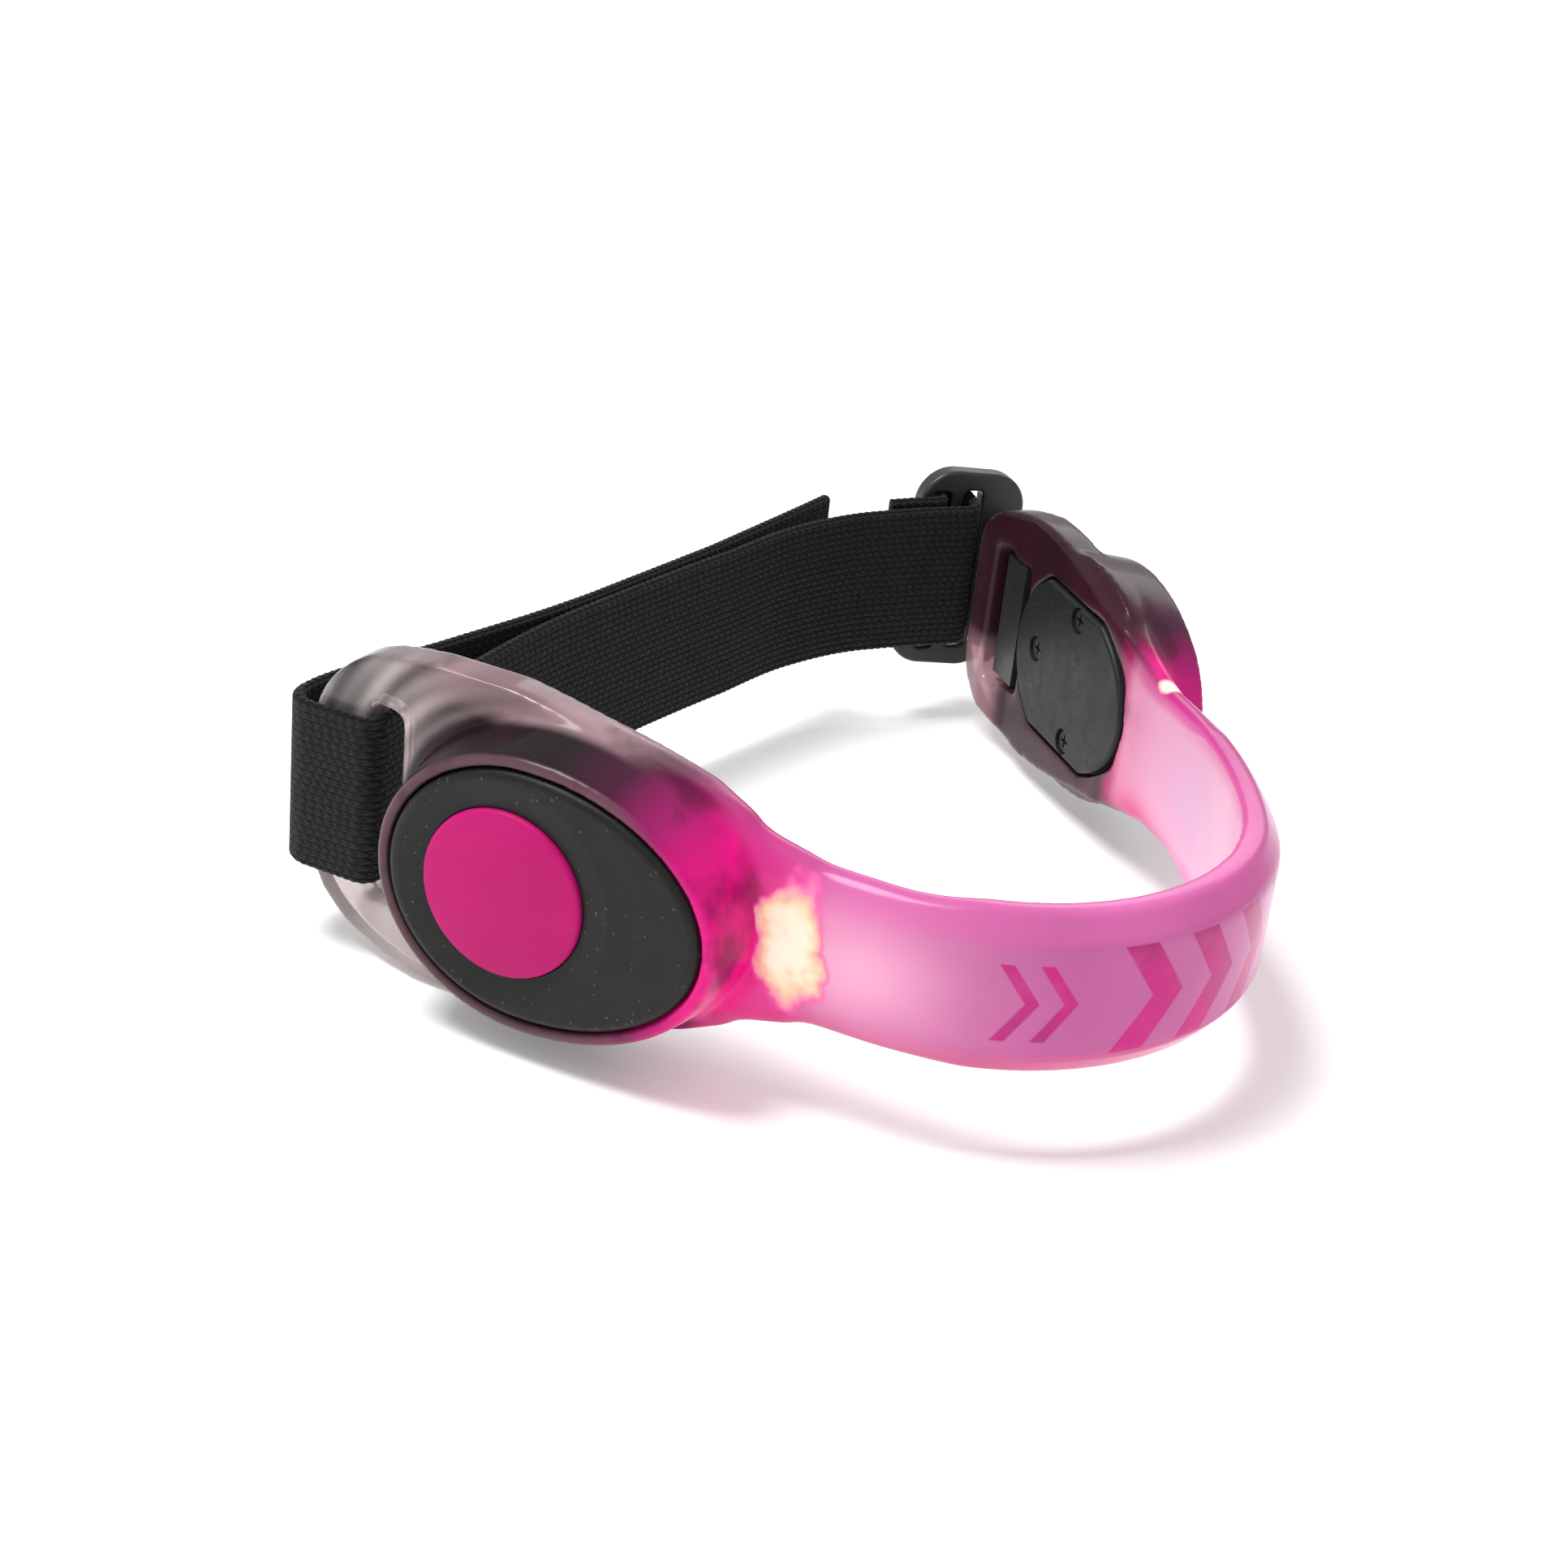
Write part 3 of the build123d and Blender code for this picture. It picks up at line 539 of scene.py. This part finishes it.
def hermite(points, first, last, step=0.35):
    """Smooth run through plan points with given end directions."""
    points = [np.array(p, float) for p in points]
    slopes = [np.array(first, float) * np.linalg.norm(points[1] - points[0])]
    for before, here, after in zip(points, points[1:], points[2:]):
        a, b = np.linalg.norm(here - before), np.linalg.norm(after - here)
        slopes.append(((here - before) / a * b + (after - here) / b * a) / (a + b))
    slopes.append(np.array(last, float) * np.linalg.norm(points[-1] - points[-2]))
    run = []
    for i, (a, b) in enumerate(zip(points, points[1:])):
        chord = np.linalg.norm(b - a)
        m0 = slopes[i] if i == 0 else slopes[i] * chord
        m1 = slopes[i + 1] if i == len(points) - 2 else slopes[i + 1] * chord
        for t in np.arange(0, 1, step / chord):
            run.append((2 * t**3 - 3 * t**2 + 1) * a + (t**3 - 2 * t**2 + t) * m0
                       + (3 * t**2 - 2 * t**3) * b + (t**3 - t**2) * m1)
    return run + [points[-1]]


def arc(start, end, centre, left, step=0.2):
    """Arc between two points round a centre, turning left or right."""
    a0 = np.arctan2(*(np.array(start) - centre)[::-1])
    a1 = np.arctan2(*(np.array(end) - centre)[::-1])
    if left and a1 < a0:
        a1 += 2 * pi
    if not left and a1 > a0:
        a1 -= 2 * pi
    radius = np.linalg.norm(np.array(start) - centre)
    count = max(4, int(abs(a1 - a0) * radius / step))
    return [np.array(centre) + radius * np.array((cos(a), sin(a))) for a in np.linspace(a0, a1, count)]


def front(x, z):
    """Plan point from the front pod's middle: x towards the guide, z out of the ring."""
    return FRONT + (x, -z)


def rear(x, z):
    """The same from the rear pod's middle."""
    return REAR + x * TO_GUIDE + z * OUTWARD


STRAP_T, STRAP_W, GAP, STEP = 1.4, 20.0, 0.3, 0.4
LEG = GAP + STRAP_T / 2
# round the front pod's bar
LEFT_X, SLOT_X, OVER_Z = -33.4 - LEG - 0.9, -25.4 + LEG + 0.3, 3.2 + LEG
OVER_R, SLOT_R = 3.2, 1.6
# round the buckle's plate and back as the free tail
PLATE_X, PLATE_HALF = -30.9, 1.3
TAIL_X = PLATE_X + PLATE_HALF + LEG
MAIN_X = TAIL_X + STRAP_T + GAP
BACK_X = PLATE_X - PLATE_HALF
FREE_Z, HOOK_Z, FOLD_R, TAIL_R = -6.1, -1.5, 2.0, 1.2


def strap_line():
    """Middle line of the strap seen from above."""
    corner_x, corner_z = LEFT_X + OVER_R, OVER_Z - OVER_R
    line = hermite([front(-15.2, -88.3), front(-19.5, -65.3), front(-22.2, -51.3), front(-25.9, -33.3),
                    front(-30.0, -18.3), front(LEFT_X, corner_z)], (-0.17, -0.98), (0, -1))
    line += arc(front(LEFT_X, corner_z), front(corner_x, OVER_Z), front(corner_x, corner_z), True)
    line += [front(corner_x + t, OVER_Z) for t in np.arange(STEP, SLOT_X - SLOT_R - LEFT_X - OVER_R, STEP)]
    corner_x, corner_z = SLOT_X - SLOT_R, OVER_Z - SLOT_R
    line += arc(front(corner_x, OVER_Z), front(SLOT_X, corner_z), front(corner_x, corner_z), True)
    line += [front(SLOT_X, corner_z - t) for t in np.arange(STEP, corner_z + 2.8, STEP)]
    line += hermite([front(SLOT_X, -3.0), front(-23.2, -33.3), front(-20.5, -48.8), front(-17.0, -64.3),
                     front(-13.5, -76.8), rear(MAIN_X, -16.0)], (0, 1), OUTWARD)
    line += [rear(MAIN_X, z) for z in np.arange(-15.6, HOOK_Z - FOLD_R, STEP)]
    corner_x, corner_z = MAIN_X - FOLD_R, HOOK_Z - FOLD_R
    line += arc(rear(MAIN_X, corner_z), rear(corner_x, HOOK_Z), rear(corner_x, corner_z), True)
    line += [rear(x, HOOK_Z) for x in np.arange(corner_x - STEP, BACK_X, -STEP)]
    line += arc(rear(BACK_X, HOOK_Z), rear(BACK_X, FREE_Z), rear(BACK_X, (HOOK_Z + FREE_Z) / 2), True)
    corner_x, corner_z = TAIL_X - TAIL_R, FREE_Z - TAIL_R
    line += [rear(x, FREE_Z) for x in np.arange(BACK_X + STEP, corner_x, STEP)]
    line += arc(rear(corner_x, FREE_Z), rear(TAIL_X, corner_z), rear(corner_x, corner_z), False)
    line += [rear(TAIL_X, z) for z in np.arange(FREE_Z - 1.6, -14.5, -STEP)]
    return np.array(line)


def resample(line, step):
    """The line at even steps, and the distances along it."""
    keep = np.concatenate([[True], np.linalg.norm(np.diff(line, axis=0), axis=1) > 1e-3])
    line = line[keep]
    length = np.concatenate([[0], np.cumsum(np.linalg.norm(np.diff(line, axis=0), axis=1))])
    at = np.arange(0, length[-1], step)
    return np.stack([np.interp(at, length, line[:, i]) for i in range(2)], axis=1), at


def strap_section(half, thick, corner=0.6):
    """Cross-section of the strap: flat faces, edges rounded."""
    turns = np.linspace(0.3, pi - 0.3, 5)
    section = [(-thick, v) for v in np.linspace(-half + corner, half - corner, 41)]
    section += [(-thick * cos(a), half - corner + corner * sin(a)) for a in turns]
    section += [(thick, v) for v in np.linspace(half - corner, -half + corner, 41)]
    section += [(thick * cos(a), -half + corner - corner * sin(a)) for a in turns]
    return np.array(section)


def make_strap():
    line, at = resample(strap_line(), 0.2)
    tangent = np.gradient(line, axis=0)
    tangent /= np.linalg.norm(tangent, axis=1)[:, None]
    side = np.stack([tangent[:, 1], -tangent[:, 0]], axis=1)
    rise = np.interp(line[:, 1], (-50, -5, 18, 34, 46), (0.2, 0.4, 0.9, 1.8, 2.5))
    rise += 0.8 * smooth_step(at, at[-1] - 26, at[-1] - 12)
    half = STRAP_W / 2
    section = strap_section(half, STRAP_T / 2)
    count = len(section)
    # the edge loops stand slightly proud, with a bite between each two
    edge = np.sign(section[:, 1]) * np.clip((np.abs(section[:, 1]) - half + 0.7) / 0.7, 0, 1)
    bite = 0.14 * np.abs(np.sin(pi * at / 0.95))
    vertices = []
    for i in range(len(line)):
        height = section[:, 1] + edge * (bite[i] - 0.1)
        xy = line[i] + np.outer(section[:, 0], side[i])
        vertices += [(x * MM, y * MM, (MID_Z + rise[i] + h) * MM) for (x, y), h in zip(xy, height)]
    faces = []
    for i in range(len(line) - 1):
        for j in range(count):
            k = (j + 1) % count
            faces.append((i * count + j, i * count + k, (i + 1) * count + k, (i + 1) * count + j))
    faces.append(tuple(range(count))[::-1])
    faces.append(tuple((len(line) - 1) * count + j for j in range(count)))
    strap = new_object("strap_web", vertices, faces, strap_material())
    write_plan(strap.data, np.repeat(at, count), np.tile(section[:, 1] + half, len(line)))
    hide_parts("strap")


make_strap()


# ---- materials of the kept CAD pieces -------------------------------------------------------------
def speckled(name, base, speck, rough=0.42):
    """Charcoal plastic with sparse pale specks and a fine texture."""
    n = Nodes(name)
    flecks = n.add("TexVoronoi", {"Vector": n.place(), "Scale": 1700.0, "Randomness": 1.0})
    chance = n.math("GREATER_THAN", n.add("SeparateColor", {0: flecks.outputs["Color"]}).outputs[0], 0.86)
    size = n.step(flecks.outputs["Distance"], 0.3, 0.1)
    spot = n.math("MULTIPLY", n.math("MULTIPLY", size, chance), n.step(n.noise(800), 0.3, 0.7, 0.3, 1.0))
    tone = n.mix(n.step(n.noise(160, 4), 0.3, 0.7), np.array(base) * 0.9, np.array(base) * 1.12)
    colour = n.mix(n.math("MULTIPLY", spot, 0.26), tone, speck)
    return n.surface(n.principled({
        "Base Color": colour, "Roughness": n.step(n.noise(420, 3), 0.2, 0.8, rough - 0.05, rough + 0.08),
        "Normal": n.bump(n.noise(1700, 3), 0.00003, 0.55), "Specular IOR Level": 0.22}))


def moulded(name, base, rough, grain=1500, depth=0.00002, metal=0.0, vary=0.12, **extra):
    """One even tone with slight mottling and a fine grain."""
    n = Nodes(name)
    tone = n.mix(n.step(n.noise(120, 4), 0.3, 0.7), np.array(base) * (1 - vary), np.array(base) * (1 + vary))
    return n.surface(n.principled({
        "Base Color": tone, "Roughness": n.step(n.noise(300, 3), 0.2, 0.8, rough - 0.04, rough + 0.06),
        "Metallic": metal, "Normal": n.bump(n.noise(grain, 3), depth, 0.5), **extra}))


def make_button(pod, material):
    """A copy of the CAD button whose rim is rounded where it stands out of the face."""
    skin = remeshed(f"{pod}_button", f"{pod}_button_skin", 0.2)
    points = read(skin.data, "co") * PER_M
    out = band_place(points)[1]
    rim = FACE_OUT[pod] - 0.9
    # the captive part keeps clear of the shell and the switch
    clearance = 0.12
    points -= read(skin.data, "normal") * (clearance * (out < rim))[:, None]
    write_places(skin.data, points)
    proud = skin.vertex_groups.new(name="proud")
    proud.add([int(i) for i in np.flatnonzero(out > rim)], 1.0, "REPLACE")
    add_smooth(skin, 22, "proud")
    skin.data = taken(skin)
    only_material(skin.data, material)
    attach(skin, f"{pod}_button")
    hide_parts(f"{pod}_button")


shell = speckled("face_charcoal", linear(26, 26, 25), linear(168, 165, 160))
cover = speckled("cover_charcoal", linear(35, 38, 37), linear(172, 170, 166))
silicone = moulded("button_silicone", linear(184, 17, 105), 0.5, 2200, vary=0.04,
                   **{"Specular IOR Level": 0.15})
buckle = moulded("buckle_satin", linear(42, 43, 42), 0.38, 1400)
rubber = moulded("gasket_rubber", linear(30, 30, 30), 0.6)
steel = moulded("screw_steel", linear(62, 62, 62), 0.5, metal=0.6)
natural = moulded("natural_plastic", linear(205, 202, 196), 0.45)
can = moulded("cell_can", linear(200, 200, 198), 0.25, metal=1.0)
gilt = moulded("gilt_contact", linear(214, 178, 108), 0.3, metal=1.0)
board = moulded("solder_mask", linear(24, 96, 52), 0.4)
chip = moulded("chip_black", linear(26, 26, 27), 0.5)
lamp = moulded("lamp_package", linear(240, 232, 180), 0.3)
pipe = moulded("clear_pipe", linear(240, 240, 242), 0.08, **{"Transmission Weight": 1.0})
case = moulded("switch_case", linear(184, 184, 184), 0.3, metal=1.0)
for pod in ("front", "rear"):
    make_button(pod, silicone)
    for piece, material in (
        ("face_shell", shell), ("back_cover", cover), ("cover_gasket", rubber),
        ("cover_screws", steel), ("chassis", natural), ("coin_cell", can), ("cell_contact", gilt),
        ("cell_clip", gilt), ("circuit_board", board), ("driver_chip", chip), ("led", lamp),
        ("light_pipe", pipe), ("switch_body", case), ("switch_plunger", chip),
    ):
        dress(f"{pod}_{piece}", material)
dress("buckle", buckle)


# ---- floor, lights, surroundings ------------------------------------------------------------------
def make_floor():
    n = Nodes("floor_white")
    shader = n.principled({
        "Base Color": n.mix(n.noise(60), (0.93, 0.93, 0.93), (0.95, 0.95, 0.95)), "Roughness": 0.9,
        "Specular IOR Level": 0.1, "Emission Color": (1, 1, 1), "Emission Strength": 0.16})
    size, below = 6.0, 0.0003
    floor = new_object("floor", [(-size, -size, 0), (size, -size, 0), (size, size, 0), (-size, size, 0)],
                       [(0, 1, 2, 3)], n.surface(shader), body=None, smooth=False)
    floor.location.z = -below


def make_light(name, place, aim, size, power):
    lamp_data = bpy.data.lights.new(name, "AREA")
    lamp_data.shape, lamp_data.size, lamp_data.size_y = "RECTANGLE", *size
    lamp_data.energy = power
    light = bpy.data.objects.new(name, lamp_data)
    light.location = place
    light.rotation_euler = (Vector(aim) - Vector(place)).to_track_quat("-Z", "Y").to_euler()
    bpy.context.collection.objects.link(light)


make_floor()
make_light("key", (-0.26, -0.2, 0.8), (0, 0, 0.02), (0.32, 0.32), 7.0)
make_light("back", (-0.1, 0.8, 0.45), (0, 0, 0.02), (0.6, 0.3), 1.3)
world = bpy.data.worlds.new("studio")
world.use_nodes = True
world.node_tree.nodes["Background"].inputs["Color"].default_value = (1, 1, 1, 1)
world.node_tree.nodes["Background"].inputs["Strength"].default_value = 0.56
bpy.context.scene.world = world
bpy.context.scene.view_settings.view_transform = "Standard"
